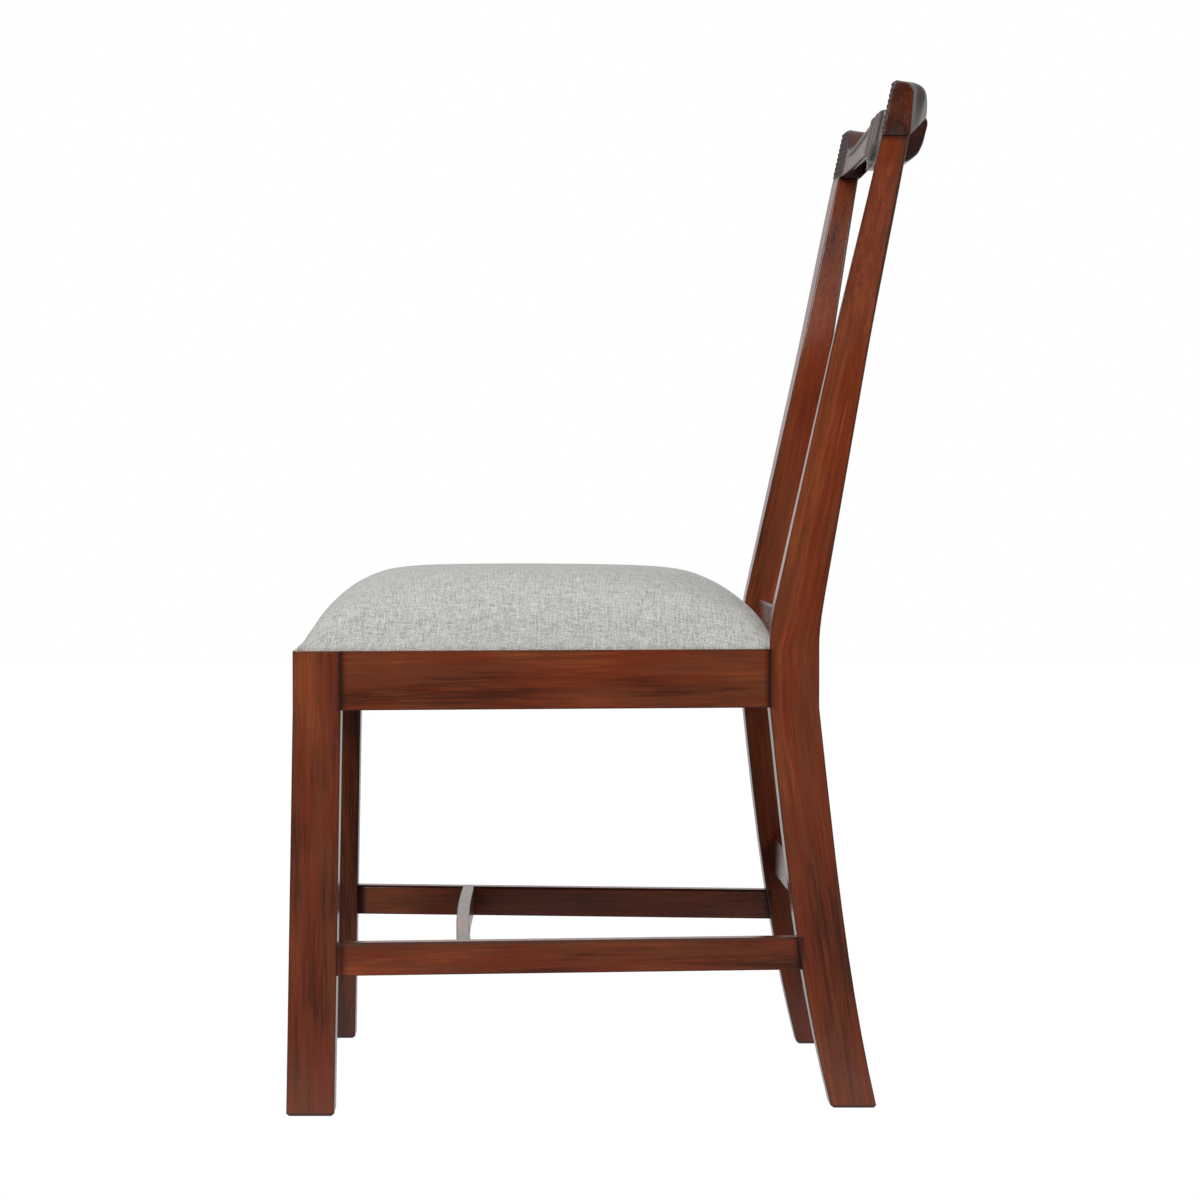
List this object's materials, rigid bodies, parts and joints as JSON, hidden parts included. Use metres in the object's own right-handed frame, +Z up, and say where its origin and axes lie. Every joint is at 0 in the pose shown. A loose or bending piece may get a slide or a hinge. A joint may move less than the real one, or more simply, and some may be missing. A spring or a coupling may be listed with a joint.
{
  "type": "side chair",
  "caption": "Armless wooden dining chair with a pierced splat, serpentine top rail, square legs joined by stretchers and a drop-in upholstered seat",
  "frame": {"origin": "on the floor, under the middle of the whole chair's box", "axes": "+Z up; the sitter faces -Y, so the front legs are at -Y and the back is at +Y; +X is the sitter's left"},
  "size_m": [0.546, 0.6158, 0.9625],
  "materials": {
    "mahogany": "reddish brown stained and glossy lacquered, fine dark pores along the grain",
    "block_wood": "plain sawn secondary wood",
    "plywood": "sanded plywood",
    "foam": "cut upholstery foam",
    "upholstery": "heathered pale grey linen weave, matte",
    "dust_cloth": "black non-woven dust cloth, matte",
    "steel": "plain zinc-plated screws and staples"
  },
  "bodies": {
    "root": {"corner_block_front_left": "block_wood", "corner_block_front_right": "block_wood", "corner_block_rear_left": "block_wood", "corner_block_rear_right": "block_wood", "corner_block_screws": "steel", "cover_staples": "steel", "crest_rail": "mahogany", "cross_stretcher": "mahogany", "dust_cover": "dust_cloth", "front_leg_left": "mahogany", "front_leg_right": "mahogany", "front_rail": "mahogany", "rear_leg_left": "mahogany", "rear_leg_right": "mahogany", "rear_rail": "mahogany", "rear_stretcher": "mahogany", "seat_board": "plywood", "seat_cover": "upholstery", "seat_foam": "foam", "seat_screws": "steel", "side_rail_left": "mahogany", "side_rail_right": "mahogany", "side_stretcher_left": "mahogany", "side_stretcher_right": "mahogany", "splat": "mahogany", "splat_shoe": "mahogany"}
  },
  "joints": []
}
